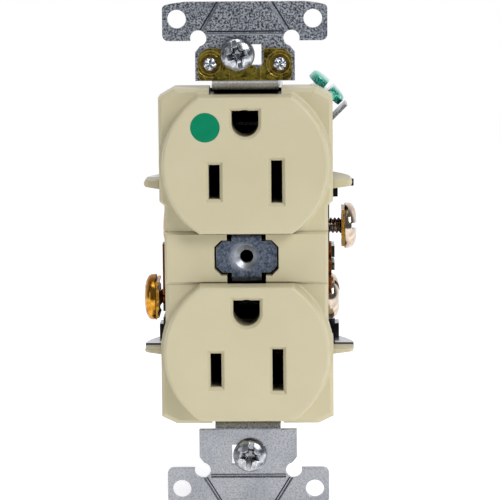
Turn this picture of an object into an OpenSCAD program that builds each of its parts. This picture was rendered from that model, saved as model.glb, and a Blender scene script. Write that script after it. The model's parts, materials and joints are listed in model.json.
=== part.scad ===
// Duplex wall outlet with two grounded three-slot faces, a wraparound steel strap,
// side screw terminals with back-wire clamps, and a self-grounding clip.
// Millimetres. X is right, Y runs back into the wall box, Z is up.
// Y = 0 is the back of the mounting ears. The origin is on the faceplate screw's axis.

/* [Faces] */
// Distance between the centres of the two outlet faces
face_pitch = 38.9; // [38.6:0.1:39.2]
// Radius of a face's flat front
face_r = 16.3; // [16:0.1:16.3]
// Half height of a face's flat front, between its straight edges
face_flat = 13.4; // [13:0.05:13.45]
// How far the faces stand in front of the wall plane
face_out = 7; // [6.6:0.1:7.2]
// Radius of the green grade mark on the upper face
dot_r = 3; // [2.5:0.1:3.2]

/* [Slots] */
// Distance between the two blade slots of a face
blade_pitch = 12.7; // [12.6:0.1:12.8]
// Width of a blade slot
blade_w = 2.25; // [2:0.05:2.3]
// Height of the hot slot
hot_h = 7; // [6.8:0.1:7.2]
// Height of the neutral slot
neutral_h = 8.7; // [8.4:0.1:8.9]
// Radius of the round end of the ground slot
ground_r = 2.74; // [2.6:0.02:2.8]
// How far the blade slots' centres lie below a face's centre
blade_drop = 3.3; // [3.2:0.1:3.4]
// Height of the ground pin's centre above the blade slots' centres
ground_rise = 11.9; // [11.8:0.1:12]
// Height of the ground slot's flat top above the blade slots' centres
ground_top = 14.5; // [14.4:0.1:14.6]

/* [Housing] */
// Half width of the cover beside the faces
wide_x = 17.8; // [17.7:0.1:18]
// Half width of the cover at the waist
waist_x = 16.8; // [16.6:0.1:17]
// Half height of the cover
cover_z = 34.8; // [34.7:0.1:34.9]
// Upper end of the waist
waist_top = 10.7; // [10.6:0.1:11]
// Lower end of the waist
waist_low = -16.6; // [-16.8:0.1:-16.4]
// How far the cover's shoulders stand in front of the wall plane
shoulder = 2.4; // [2.3:0.1:2.6]
// Depth of the joint between cover and back body
parting = 6.5; // [6.3:0.1:6.7]
// Depth of the back of the housing
depth = 24; // [24:0.5:25]

/* [Strap] */
// Thickness of the strap
strap_t = 1.3; // [1.2:0.05:1.35]
// Half width of the strap's legs and back run
neck_x = 6.8; // [6.6:0.1:6.9]
// Half width of the strap's end plates
plate_x = 10.15; // [9.9:0.05:10.2]
// Half width across the mounting ears
ear_x = 16.8; // [16.5:0.1:17]
// Height of the strap's ends
strap_z = 52.4; // [52:0.1:52.8]
// Height of the mounting screws
mount_z = 41.67; // [41.6:0.01:41.7]
// Half distance between the ear holes, side to side
ear_hole_x = 13.85; // [13.8:0.05:14.1]
// Height of the ear holes
ear_hole_z = 48.9; // [48.7:0.1:49.1]
// Radius of the ear holes
ear_hole_r = 1.9; // [1.8:0.05:2]

/* [Terminals] */
// Height of the upper terminal screws
term_up = 4.9; // [4.8:0.1:5]
// Height of the lower terminal screws
term_low = -10.1; // [-10.2:0.1:-10]
// Depth of the terminal screws' axes
term_y = 10; // [9.9:0.1:10.1]
// Radius of a terminal screw's head
term_head_r = 4.85; // [4.5:0.05:4.9]
// Radius of a terminal screw's shank
term_shank_r = 1.7; // [1.65:0.05:1.7]
// How far the upper neutral screw is backed out
out_neutral_up = 5.2; // [0:0.1:5.5]
// How far the lower neutral screw is backed out
out_neutral_low = 1.6; // [0:0.1:5.5]
// How far the lower hot screw is backed out
out_hot_low = 4.1; // [0:0.1:5.5]

/* [Mounting screws] */
// Sideways place of the upper mounting screw in its slot
mount_up_x = -1.5; // [-1.5:0.1:1.5]
// Sideways place of the lower mounting screw in its slot
mount_low_x = 0.4; // [-1.5:0.1:1.5]
// Radius of a mounting screw's shank
mount_r = 1.75; // [1.7:0.01:1.76]
// Radius of a mounting screw's head
mount_head_r = 3.525; // [3.4:0.025:3.55]
// Length of a mounting screw under its head
mount_len = 19; // [16:0.5:22]

/* [Hidden] */
$fn = 64;

IVORY = [0.83, 0.79, 0.66];
BLACK = [0.05, 0.05, 0.06];
ZINC = [0.62, 0.63, 0.66];
BRASS = [0.78, 0.6, 0.25];
NICKEL = [0.72, 0.71, 0.69];
GREEN = [0, 0.55, 0.4];
FIBRE = [0.45, 0.3, 0.2];

EPS = 0.01;        // overshoot of a cut past a face
GAP = 0.02;        // gap between flat faces that touch in use
FIT = 0.05;        // radial clearance of a turning shank
FACES = [face_pitch / 2, -face_pitch / 2];
BLADES = [FACES[0] - blade_drop, FACES[1] - blade_drop];
FACE_EDGE = 0.6;   // rounding at the front edge of a face
FACE_DRAFT = 0.25; // how much a face's wall leans out
FACE_FOOT = 0.65;  // fillet where a face meets the shoulder
BEVEL = 0.7;       // bevel round the cover's shoulder
DOT_AT = [-8.1, FACES[0] + 7.85]; // place of the grade mark
DOT_T = 0.3;       // depth of its seat
LABEL_Z = 5.4;     // half height of the raised band between the faces
LABEL_UP = 0.7;    // how far that band is raised
FLOOR_Y = 0.8;     // inner side of the cover's front wall
ROOM_X = 16;       // half width of the rooms behind the faces
ROOMS = [[11.6, 32.4], [-32.4, -18.3]]; // their lower and upper ends
LEAF_ROOM = [3.9, 10.6]; // sides of the room round a pair of blade leaves
ARM_ROOM = [13.1, 14.8]; // sides of the room round a bus bar
PIN_ROOM = [4.2, 3.4];   // half width and half height of the room round a ground contact
SEAM = 0.1;        // gap between the cover and the back body
NOTCH_X = 7.4;     // half width of the strap's notch in the housing
NOTCH_Z = 33.5;    // floor of that notch in the cover
CUT_UP = [3.2, 1.8]; // width and height cut off the upper corners
CUT_LOW = [3.1, 1.5]; // width and height cut off the lower corners
BODY_X = 17.6;     // half width of the back body beside the faces
BODY_Z = 33;       // half height of the back body
PAD_Z = 34.2;      // where the strap's legs rest on the back body
CORE_X = 13.3;     // half width of the back body between the terminals
REAR_X = 17.2;     // half width of the back body behind the terminals
REAR_Y = 17;       // depth at which that rear block starts
LUG_X = 18.3;      // half width across the lugs on the rear block
LUGS = [[-2.9, -0.5], [-5.7, -4], [-14.4, -9.8], [-17.6, -15.7]]; // their ends in Z
FIN_LOW = 13.65;   // underside of the upper side fins
FIN_T = 2;         // thickness of an upper fin
FIN_X = 21.5;      // how far the upper fins reach, on average
FIN_SKEW = 0.3;    // how much further a right fin reaches, and how much less a left one
FIN_RISE = 0.6;    // how far a fin's underside rises towards its tip
FOOT_LOW = -20.9;  // underside of the lower side fins
FOOT_T = 1.2;      // thickness of a lower fin
FOOT_X = 21.7;     // how far the lower fins reach, on average
FIN_Y = 0.9;       // front of the cover's fins
LAP_T = 0.5;       // thickness of the cover's lap over the right upper fin of the back body

BEND_R = 2;        // outer radius of the strap's bends
BEND_Z = 36.3;     // where the end plates turn into the legs
LEG_Z = BEND_Z - BEND_R;
BACK_Y = depth + FIT;
GROOVE_W = 0.9;    // width of a break-off groove
GROOVE_D = 0.45;   // depth of a break-off groove
CLIP_T = 0.5;      // thickness of the grounding clip
CLIP_RIVET = [7.1, 39.75]; // place of a clip rivet
CLIP_RIVET_R = 0.95;
PLATE_T = 1.2;     // thickness of the centre bridge
BRIDGE_BEND = 1.5; // outer radius of the bridge's bends
BRIDGE_Z = 3.9;    // where the bridge turns back
BRIDGE_X = 3.05;   // half width of the bridge's legs
BRIDGE_LOCK = 0.3; // how far a bridge leg's upset end stands out behind the strap
THREAD_R = 1.37;   // radius of the faceplate screw's thread
CONTACT_Z = [BLADES[0] + ground_rise, BLADES[1] + ground_rise];
BRACKET_RIVET_X = 4.6; // place of the ground bracket's own rivet
RIVET_R = 1.2;     // radius of a ground rivet's shank

TERM_X = 13.4;     // inner side of a terminal plate
TERM_T = 1;        // thickness of a terminal plate
CLAMP_X = TERM_X + TERM_T + GAP;
CLAMP_T = 0.65;    // thickness of a terminal clamp
HEAD_X = CLAMP_X + CLAMP_T + GAP; // base of a terminal screw's head when it is driven home
HEAD_H = 2.6;      // height of a terminal screw's head
HEAD_RIM = 0.5;    // height of the straight rim of that head
TERM_SHANK = 7.5;  // length of a terminal screw's shank
PLATE_Z = 4.2;     // half height of a terminal plate
LINK_X = 17.5;     // how far the break-off link stands out
LINK_Z = [-8.3, 2.3]; // lower and upper ends of the break-off link
LEAF_T = 0.8;      // thickness of a contact leaf
BLADE_GAP = 0.8;   // half of the gap between two blade leaves
PIN_GAP = 2.45;    // half of the gap between two ground leaves
WIRE_R = 1.15;     // radius of a back-wire hole
WIRE_X = 15.75;    // distance of the back-wire holes from the middle
WIRE_Z = 2.75;     // wire hole's distance from the screw, up or down

NECK_R = 1.5;      // radius of a mounting screw's neck
NECK_END = 1.1;    // depth at which the neck ends and the thread starts

EARTH_AT = [15.3, 12, 32.36]; // outer side of the ground terminal's plate
EARTH_TURN = 45;   // lean of the ground screw from vertical
EARTH_PLATE = 0.8; // thickness of the ground bracket
EARTH_HALF = 4.2;  // half width of the ground bracket
EARTH_ARM = [16.6, 24.4, 30.2]; // inner side, lower and upper end of the bracket's arm
EARTH_CLAMP = 1;   // thickness of the ground clamp
EARTH_BASE = GAP + EARTH_CLAMP + GAP;
EARTH_HEAD = 4.35; // radius of the ground screw's head
EARTH_H = 2.5;     // height of the ground screw's head

// Points on an arc of radius r about c, from angle a0 to a1, in n steps
function arc(c, r, a0, a1, n = 6) =
    [for (i = [0:n]) let (a = a0 + (a1 - a0) * i / n) c + r * [cos(a), sin(a)]];

// Mirror image of a list of points across the second axis, in reverse order
function flipped(p) = [for (i = [len(p) - 1:-1:0]) [-p[i][0], p[i][1]]];

// A profile drawn in X and Z, extruded from y0 to y1
module along_y(y0, y1) {
    translate([0, y1, 0]) rotate([90, 0, 0]) linear_extrude(y1 - y0) children();
}

// A profile drawn in Y and Z, extruded from x0 to x1
module along_x(x0, x1) {
    translate([x0, 0, 0]) rotate([90, 0, 90]) linear_extrude(x1 - x0) children();
}

// A profile drawn in X and Y, extruded from z0 to z1
module along_z(z0, z1) {
    translate([0, 0, z0]) linear_extrude(z1 - z0) children();
}

// A box between two corners
module box(low, high) {
    translate(low) cube(high - low);
}

// A rod along Y, centred on at = [x, z]
module rod_y(r, y0, y1, at = [0, 0]) {
    translate([at[0], y0, at[1]]) rotate([-90, 0, 0]) cylinder(h = y1 - y0, r = r);
}

// A rod along X, centred on at = [y, z]
module rod_x(r, x0, x1, at = [0, 0]) {
    translate([x0, at[0], at[1]]) rotate([0, 90, 0]) cylinder(h = x1 - x0, r = r);
}

// Children and their mirror image on the left
module both_sides() {
    children();
    mirror([1, 0, 0]) children();
}

// Children and their mirror image below
module both_ends() {
    children();
    mirror([0, 0, 1]) children();
}

// ---- Housing ----

// End block of the housing, upper end: its outline, drawn in by inset on the outer edges
module end_outline(x, z0, z1, inset, cut) {
    w = x - inset;
    top = z1 - inset;
    half = [[w - 1, z0], [w, z0 + 0.9], [w, top - cut[1]], [w - cut[0], top]];
    polygon(concat(half, flipped(half)));
}

// The cover's solid block, bevelled round its front
module cover_block(x, z0, z1, cut) {
    hull() {
        along_y(-shoulder, 0) end_outline(x, z0, z1, BEVEL, cut);
        along_y(BEVEL - shoulder, parting) end_outline(x, z0, z1, 0, cut);
    }
}

// The cover between the faces: a thin skin in front of the terminals and a core behind it
module cover_waist() {
    skin = FLOOR_Y + 0.4;
    core = CORE_X - 0.9;
    hull() {
        box([BEVEL - waist_x, -shoulder, waist_low - 2], [waist_x - BEVEL, 0, waist_top + 2]);
        box([-waist_x, BEVEL - shoulder, waist_low - 2], [waist_x, skin, waist_top + 2]);
    }
    box([-core, 0, waist_low - 2], [core, parting, waist_top + 2]);
}

// The raised band across the waist
module label_band() {
    e = 0.5;
    hull() {
        box([e - waist_x, -shoulder - LABEL_UP, e - LABEL_Z],
            [waist_x - e, 0, LABEL_Z - e]);
        box([-waist_x, -shoulder - LABEL_UP + e, -LABEL_Z], [waist_x, 0, LABEL_Z]);
    }
}

// Half section of a raised face, from its flat front to its foot: [distance, height]
function face_section(flat) = concat(
    [[flat + FACE_EDGE + FACE_DRAFT + FACE_FOOT, -FLOOR_Y / 2]],
    arc([flat + FACE_EDGE + FACE_DRAFT + FACE_FOOT, shoulder + FACE_FOOT],
        FACE_FOOT, 270, 180, 4),
    arc([flat, face_out - FACE_EDGE], FACE_EDGE, 0, 90, 4));

// A raised face: a truncated disc with flat upper and lower sides
module face_boss(z) {
    section = face_section(face_flat);
    translate([0, 0, z]) intersection() {
        rotate([90, 0, 0]) rotate_extrude($fn = 128)
            polygon(concat([[0, -FLOOR_Y / 2]], face_section(face_r), [[0, face_out]]));
        rotate([90, 0, 0]) rotate([90, 0, 90])
            translate([0, 0, -wide_x]) linear_extrude(2 * wide_x)
                polygon(concat(section, flipped(section)));
    }
}

// A cut through the front with a bevelled lead-in, centred on at = [x, z]
module slot_cut(at, w, h) {
    lead = 0.65;
    deep = 0.75;
    y0 = -face_out - EPS;
    box([at[0] - w / 2, y0, at[1] - h / 2], [at[0] + w / 2, FLOOR_Y + EPS, at[1] + h / 2]);
    intersection() {
        translate([at[0], 0, at[1] - h]) linear_extrude(2 * h)
            polygon([[-w / 2 - lead, y0], [w / 2 + lead, y0],
                     [w / 2, y0 + deep], [-w / 2, y0 + deep]]);
        translate([at[0] - w, 0, at[1]]) rotate([90, 0, 90]) linear_extrude(2 * w)
            polygon([[y0, -h / 2 - lead], [y0, h / 2 + lead],
                     [y0 + deep, h / 2], [y0 + deep, -h / 2]]);
    }
}

// The ground slot that belongs to blade slots at z: round below, flat on top
module ground_cut(z) {
    lead = 0.6;
    deep = 0.75;
    y0 = -face_out - EPS;
    at = z + ground_rise;
    top = z + ground_top;
    rod_y(ground_r, y0, FLOOR_Y + EPS, [0, at]);
    box([-ground_r, y0, at], [ground_r, FLOOR_Y + EPS, top]);
    translate([0, y0, at]) rotate([-90, 0, 0])
        cylinder(h = deep, r1 = ground_r + lead, r2 = ground_r);
    intersection() {
        translate([0, 0, at]) linear_extrude(top - at + lead)
            polygon([[-ground_r - lead, y0], [ground_r + lead, y0],
                     [ground_r, y0 + deep], [-ground_r, y0 + deep]]);
        along_x(-ground_r - lead, ground_r + lead)
            polygon([[y0, at], [y0, top + lead], [y0 + deep, top], [y0 + deep, at]]);
    }
}

// A fin of the cover on the right, flat on top, whose underside rises to a rounded tip
module fin(z, thick, reach) {
    tip = (thick - FIN_RISE) / 2;
    round = 1.2;
    root = wide_x - 1;
    side = concat([[root, z]], arc([reach - tip, z + thick - tip], tip, -90, 90, 8),
                  [[root, z + thick]]);
    plan = concat([[root, FIN_Y]], arc([reach - round, FIN_Y + round], round, -90, 0, 4),
                  [[reach, parting], [root, parting]]);
    intersection() {
        along_y(FIN_Y, parting) polygon(side);
        along_z(z - 1, z + thick + 1) polygon(plan);
    }
}

// A flat fin on the right, whose free edge sweeps back to the wall. long is its depth.
module swept_fin(z0, z1, y0, long, reach, root = BODY_X - 1) {
    steps = 8;
    edge = [for (i = [0:steps]) let (t = i / steps)
        [reach - (reach - root) * pow(t, 1.8), y0 + long * t]];
    along_z(z0, z1) polygon(concat([[root, y0]], edge));
}

// Outline of the pocket round the centre bridge
module bridge_pocket() {
    cut_rectangle(6.6, 3.7, 1.4);
}

// A rectangle of half width x and half height z with its corners cut by c
module cut_rectangle(x, z, c) {
    half = [[x - c, -z], [x, c - z], [x, z - c], [x - c, z]];
    polygon(concat(half, flipped(half)));
}

module front_cover() {
    back = parting + EPS;
    clear = -shoulder - 1;
    pin_z = CONTACT_Z[1];
    color(IVORY) difference() {
        union() {
            cover_block(wide_x, waist_top, cover_z, CUT_UP);
            mirror([0, 0, 1]) cover_block(wide_x, -waist_low, cover_z, CUT_LOW);
            cover_waist();
            label_band();
            for (z = FACES) face_boss(z);
            for (side = [0, 1]) mirror([side, 0, 0]) {
                skew = FIN_SKEW * (1 - 2 * side);
                fin(FIN_LOW, FIN_T, FIN_X + skew);
                fin(FOOT_LOW, FOOT_T, FOOT_X + skew);
            }
            swept_fin(FIN_LOW + FIN_T - LAP_T, FIN_LOW + FIN_T, parting - EPS, 9, FIN_X,
                      BODY_X + SEAM);
        }
        for (z = BLADES) {
            slot_cut([-blade_pitch / 2, z], blade_w, hot_h);
            slot_cut([blade_pitch / 2, z], blade_w, neutral_h);
            ground_cut(z);
        }
        // rooms behind the two faces
        for (z = ROOMS) box([-ROOM_X, FLOOR_Y, z[0]], [ROOM_X, back, z[1]]);
        // room round the lower ground contact
        box([-PIN_ROOM[0], FLOOR_Y, pin_z - PIN_ROOM[1]], [PIN_ROOM[0], back, pin_z + PIN_ROOM[1]]);
        // pocket, leg slots and screw hole of the centre bridge
        along_y(clear, -0.08) bridge_pocket();
        box([-4, clear, 3.5], [4, back, 5.9]);
        box([-4, clear, -6], [4, back, -3.5]);
        rod_y(3, -1, back);
        // notches for the strap's legs
        box([-NOTCH_X, clear, NOTCH_Z], [NOTCH_X, back, cover_z + 1]);
        box([-NOTCH_X, clear, -cover_z - 1], [NOTCH_X, back, -NOTCH_Z - 0.1]);
        // seat of the grade mark
        rod_y(dot_r, -face_out - EPS, DOT_T - face_out, DOT_AT);
    }
}

module grade_dot() {
    color(GREEN) rod_y(dot_r - GAP, -face_out - GAP, DOT_T - face_out - GAP, DOT_AT);
}

// One end block of the back body, bevelled round its back
module body_block(z0, z1, cut) {
    e = 0.6;
    hull() {
        along_y(parting + SEAM, depth - e) end_outline(BODY_X, z0, z1, 0, cut);
        along_y(depth - 2 * e, depth) end_outline(BODY_X, z0, z1, e, cut);
    }
}

module back_body() {
    front = parting + SEAM;
    open = front - EPS;
    floor = 14;
    leaf_z = 5.4;
    arm_z = 3.2;
    top = FIN_LOW + FIN_T;
    foot_top = FOOT_LOW + FOOT_T + 0.3;
    color(BLACK) difference() {
        union() {
            body_block(waist_top + 0.2, BODY_Z, CUT_UP);
            mirror([0, 0, 1]) body_block(0.2 - waist_low, BODY_Z, CUT_LOW);
            both_ends() box([-NOTCH_X, front, BODY_Z - 1], [NOTCH_X, depth - BEND_R / 2, PAD_Z]);
            box([-CORE_X, front, waist_low - 1], [CORE_X, REAR_Y + 1, waist_top + 1]);
            box([-REAR_X, REAR_Y, waist_low - 1], [REAR_X, depth, waist_top + 1]);
            for (z = LUGS) box([-LUG_X, REAR_Y, z[0]], [LUG_X, depth, z[1]]);
            swept_fin(FIN_LOW, top - LAP_T - GAP, front, 9.3, FIN_X + FIN_SKEW + 0.4);
            mirror([1, 0, 0]) swept_fin(FIN_LOW, top, front, 8, FIN_X - FIN_SKEW - 0.4);
            swept_fin(11.2, FIN_LOW + EPS, front + 1.4, 4, 18.9);
            for (side = [0, 1]) mirror([side, 0, 0])
                swept_fin(FOOT_LOW, foot_top, front, 11, FOOT_X + FIN_SKEW * (1 - 2 * side) + 0.1);
            both_sides() box([BODY_X - 1, REAR_Y + 2, FOOT_LOW], [19.2, depth, foot_top + 1.9]);
        }
        // rooms for the blade contacts, their arms and the bus bars
        for (z = BLADES) both_sides() {
            box([LEAF_ROOM[0], open, z - leaf_z], [LEAF_ROOM[1], floor, z + leaf_z]);
            box([LEAF_ROOM[1] - 2, open, z - arm_z], [ARM_ROOM[1], floor, z + arm_z]);
        }
        both_sides() {
            box([ARM_ROOM[0], open, waist_top - 1], [ARM_ROOM[1], floor, BLADES[0] + arm_z]);
            box([ARM_ROOM[0], open, BLADES[1] - arm_z], [ARM_ROOM[1], floor, waist_low + 1]);
            for (z = [term_up, term_low]) {
                rod_x(2.1, 7.2, TERM_X, [term_y, z]);
                for (s = [-1, 1]) rod_y(WIRE_R, REAR_Y - EPS, depth + 1, [WIRE_X, z + s * WIRE_Z]);
            }
        }
        // rooms for the ground contacts, open at the back
        for (z = CONTACT_Z)
            box([-PIN_ROOM[0], open, z - PIN_ROOM[1]],
                [PIN_ROOM[0], depth + EPS, z + PIN_ROOM[1]]);
        // slots for the centre bridge's legs and room for the faceplate screw
        both_ends() box([-3.3, open, 4], [3.3, depth + EPS, 5.6]);
        rod_y(2.1, open, 20);
        // corner cut away for the ground terminal, and a recess for its arm
        at_earth() {
            box([-9, -5, -1.2], [9, 20, 9]);
            translate([0, 0, -8]) cylinder(h = 9, r = 2.1);
        }
        box([EARTH_ARM[0] - SEAM, EARTH_AT[1] - EARTH_HALF - 0.4, EARTH_ARM[1] - 0.4],
            [BODY_X + 1, depth + EPS, PAD_Z]);
    }
}

// ---- Strap ----

// One quarter bend along X, on the side of c where Y and Z are below it
module quarter_bend(c, half, outer, inner) {
    difference() {
        intersection() {
            rod_x(outer, -half, half, c);
            box([-half, c[0] - outer, c[1] - outer], [half, c[0], c[1]]);
        }
        rod_x(inner, -half - EPS, half + EPS, c);
    }
}

// Outline of the strap's upper end plate with its two break-off ears and its screw slot
module end_plate_shape() {
    notch = [9.5, 44.95];
    notch_r = 1.65;
    slot = [3.35, 39.5, 43.7];
    plate = [[plate_x, BEND_Z], [plate_x, 42.1], [7.95, 44.9], [7.95, 47]];
    ear = concat([[10, 44.45]], arc([ear_x - 1.2, 45.65], 1.2, -90, 0, 5),
                 arc([ear_x - 0.9, 50.9], 0.9, 0, 70, 4), [[14.6, 52.1], [12.2, strap_z]]);
    difference() {
        union() {
            polygon(concat(plate, flipped(plate)));
            polygon(concat(ear, flipped(ear)));
        }
        for (s = [-1, 1]) {
            translate([s * notch[0], notch[1]]) circle(notch_r);
            translate([s * ear_hole_x, ear_hole_z]) circle(ear_hole_r);
        }
        translate([-slot[0], slot[1]]) square([2 * slot[0], slot[2] - slot[1]]);
    }
}

// A bar with a V section that opens towards -Y, centred on the origin, long in Z
module groove(long) {
    w = GROOVE_W / 2;
    floor = 0.1;
    translate([0, 0, -long / 2]) linear_extrude(long)
        polygon([[-w, 0], [-w, -1], [w, -1], [w, 0], [floor, GROOVE_D], [-floor, GROOVE_D]]);
}

// Grooves on both faces of an end plate, along which its ears break off
module break_grooves() {
    for (back = [0, 1]) translate([0, -strap_t / 2, 0]) mirror([0, back, 0])
        translate([0, -strap_t / 2, 0]) {
            for (s = [-1, 1])
                translate([s * 7.1, 0, 49.45]) rotate([0, s * -31.4, 0]) groove(7.6);
            translate([0, 0, 46.1]) rotate([0, 90, 0]) groove(15.6);
        }
}

module mounting_strap() {
    leg_y = BEND_R - strap_t;
    back_end = BACK_Y + strap_t;
    color(ZINC) difference() {
        both_ends() {
            along_y(-strap_t, 0) end_plate_shape();
            quarter_bend([leg_y, BEND_Z], neck_x, BEND_R, BEND_R - strap_t);
            box([-neck_x, leg_y, LEG_Z], [neck_x, back_end - BEND_R, LEG_Z + strap_t]);
            translate([0, 2 * (back_end - BEND_R), 0]) mirror([0, 1, 0]) mirror([0, 0, 1])
                quarter_bend([back_end - BEND_R, -(LEG_Z + strap_t - BEND_R)], neck_x,
                             BEND_R, BEND_R - strap_t);
            box([-neck_x, BACK_Y, -EPS], [neck_x, back_end, LEG_Z + strap_t - BEND_R]);
        }
        both_ends() {
            break_grooves();
            box([-BRIDGE_X - FIT, BACK_Y - 1, BRIDGE_Z + 0.25],
                [BRIDGE_X + FIT, back_end + 1, BRIDGE_Z + BRIDGE_BEND + FIT]);
        }
        for (z = CONTACT_Z) rod_y(RIVET_R + FIT, BACK_Y - 1, back_end + 1, [0, z]);
        rod_y(RIVET_R + FIT, BACK_Y - 1, back_end + 1, [BRACKET_RIVET_X, CONTACT_Z[0]]);
        for (s = [-1, 1])
            rod_y(CLIP_RIVET_R + FIT, -strap_t - 1, 1, [s * CLIP_RIVET[0], CLIP_RIVET[1]]);
    }
}

// The steel piece that ties cover and body to the strap and takes the faceplate screw
module centre_bridge() {
    y0 = -1.3;
    back = BACK_Y + strap_t;
    leg_y = y0 + BRIDGE_BEND;
    inner = BRIDGE_BEND - PLATE_T;
    color(ZINC) difference() {
        union() {
            along_y(y0, y0 + PLATE_T) cut_rectangle(6.25, 3.25, 1.3);
            box([-BRIDGE_X, y0, -BRIDGE_Z], [BRIDGE_X, y0 + PLATE_T, BRIDGE_Z]);
            rod_y(2.3, -PLATE_T / 2, 0.9);
            both_ends() {
                mirror([0, 0, 1])
                    quarter_bend([leg_y, -BRIDGE_Z], BRIDGE_X, BRIDGE_BEND, inner);
                box([-BRIDGE_X, leg_y, BRIDGE_Z + inner],
                    [BRIDGE_X, back + 0.5, BRIDGE_Z + BRIDGE_BEND]);
                box([-BRIDGE_X - BRIDGE_LOCK, back + GAP, BRIDGE_Z + inner - BRIDGE_LOCK],
                    [BRIDGE_X + BRIDGE_LOCK, back + 0.5, BRIDGE_Z + BRIDGE_BEND + BRIDGE_LOCK]);
            }
        }
        rod_y(THREAD_R, y0 - 1, 2);
        translate([0, y0 - EPS, 0]) rotate([-90, 0, 0])
            cylinder(h = 0.8, r1 = 2.55, r2 = THREAD_R);
    }
}

// Outline of the grounding clip, cut open for the mounting screw
module clip_shape() {
    x = 9.55;
    low = 36.35;
    top = 42.9;
    half = concat(arc([x - 1.2, low + 1.2], 1.2, -90, 0, 4),
                  arc([x - 2.4, top - 2.4], 2.4, 0, 90, 6));
    difference() {
        polygon(concat(half, flipped(half)));
        translate([-3.45, 39.4]) square([7.25, 5]);
        translate([2.1, 38.7]) square([1, 1]);
        for (s = [-1, 1]) translate([s * CLIP_RIVET[0], CLIP_RIVET[1]]) circle(CLIP_RIVET_R + FIT);
    }
}

// Spring clip over the strap, with a raised ring round each rivet
module grounding_clip() {
    front = -strap_t - CLIP_T;
    color(BRASS) difference() {
        along_y(front, -strap_t) clip_shape();
        box([-3.2, front - 1, 36], [3.2, front + 0.1, 40]);
        for (s = [-1, 1]) difference() {
            rod_y(2.7, front - 1, front + 0.12, [s * CLIP_RIVET[0], CLIP_RIVET[1]]);
            rod_y(2.1, front - 2, front + 1, [s * CLIP_RIVET[0], CLIP_RIVET[1]]);
        }
    }
}

// A rivet along Y: domed head at y0, shank to y1, flat foot behind
module rivet(at, y0, y1, head_r, head_h, r, foot_h) {
    translate([at[0], 0, at[1]]) rotate([-90, 0, 0]) rotate_extrude()
        polygon(concat([[0, y0 - head_h]],
            [for (i = [1:6]) [head_r * sin(i * 15), y0 - head_h * cos(i * 15)]],
            [[r, y0], [r, y1], [head_r, y1], [head_r - 0.2, y1 + foot_h], [0, y1 + foot_h]]));
}

module clip_rivets() {
    color(ZINC) for (s = [-1, 1])
        rivet([s * CLIP_RIVET[0], CLIP_RIVET[1]], -strap_t - CLIP_T - GAP, GAP,
              1.35, 0.45, CLIP_RIVET_R, 0.4);
}

// ---- Contacts ----

// Two leaves round a blade, joined by a base at the back. Drawn in X and Y.
module leaf_pair_shape(gap, y0, y1) {
    leaf = [[gap + LEAF_T, y1], [gap + LEAF_T, y0 + 1.8], [gap + 1.5, y0 + 0.2],
            [gap + 0.7, y0], [gap, y0 + 1.6], [gap, y1 - LEAF_T]];
    polygon(concat(leaf, flipped(leaf)));
}

// The bus bar of one side, drawn on the right
module bus_bar() {
    base_y = 13;
    leaf_z = 4;
    arm_z = 2.6;
    plate = [term_y - 5.8, term_y + 5.8];
    link_y = [2.2, plate[0] + 0.8];
    tail = 1.4;
    out = TERM_X + TERM_T;
    for (z = BLADES) {
        translate([blade_pitch / 2, 0, 0])
            along_z(z - leaf_z, z + leaf_z) leaf_pair_shape(BLADE_GAP, 1.6, base_y);
        box([7, base_y - LEAF_T, z - arm_z], [out, base_y, z + arm_z]);
    }
    difference() {
        union() {
            box([TERM_X, 7.2, BLADES[1] - arm_z], [out, base_y, term_low + 3]);
            box([TERM_X, 7.2, term_up - 3], [out, base_y, BLADES[0] + arm_z]);
            for (z = [term_up, term_low])
                box([TERM_X, plate[0], z - PLATE_Z], [out, plate[1], z + PLATE_Z]);
        }
        for (z = [term_up, term_low])
            rod_x(term_shank_r + FIT, TERM_X - 1, TERM_X + 2, [term_y, z]);
    }
    // break-off link between the two terminal plates
    for (z = [LINK_Z[0], LINK_Z[1] - tail])
        box([TERM_X, plate[0], z], [LINK_X, link_y[1], z + tail]);
    box([LINK_X - 0.8, link_y[0], LINK_Z[0]], [LINK_X, link_y[1], LINK_Z[1]]);
}

module hot_bus_bar() {
    color(BRASS) mirror([1, 0, 0]) bus_bar();
}

module neutral_bus_bar() {
    color(BRASS) bus_bar();
}

module ground_contact(z) {
    color(BRASS) difference() {
        along_z(z - 2.6, z + 2.6) leaf_pair_shape(PIN_GAP, 2, depth);
        rod_y(RIVET_R + FIT, depth - 2, depth + 1, [0, z]);
    }
}

module ground_rivets() {
    strap_back = BACK_Y + strap_t + GAP;
    bracket_back = strap_back + EARTH_PLATE + GAP;
    color(BRASS) {
        rivet([0, CONTACT_Z[0]], depth - LEAF_T - GAP, bracket_back, 1.9, 0.5, RIVET_R, 0.5);
        rivet([0, CONTACT_Z[1]], depth - LEAF_T - GAP, strap_back, 1.9, 0.5, RIVET_R, 0.5);
        rivet([BRACKET_RIVET_X, CONTACT_Z[0]], BACK_Y - GAP, bracket_back, 1.6, EPS, RIVET_R, 0.5);
    }
}

// ---- Terminals ----

// Edge of a pan head from its rim to its top: [distance from the axis, height]
function pan_edge(r, rim, high, n = 7) =
    [for (i = [0:n]) let (a = 90 * i / n)
        [r * pow(cos(a), 0.7), rim + (high - rim) * pow(sin(a), 0.7)]];

// A terminal screw along X, drawn on the right and backed out by out
module terminal_screw(z, out) {
    tip = 0.4;
    slot = [0.65, 1.3];
    section = concat([[0, -TERM_SHANK], [term_shank_r - tip, -TERM_SHANK],
                      [term_shank_r, tip - TERM_SHANK], [term_shank_r, 0], [term_head_r, 0]],
                     pan_edge(term_head_r, HEAD_RIM, HEAD_H));
    translate([HEAD_X + out, term_y, z]) rotate([0, 90, 0]) difference() {
        rotate_extrude() polygon(section);
        box([-slot[0], -term_head_r - 1, HEAD_H - slot[1]],
            [slot[0], term_head_r + 1, HEAD_H + 1]);
    }
}

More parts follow.
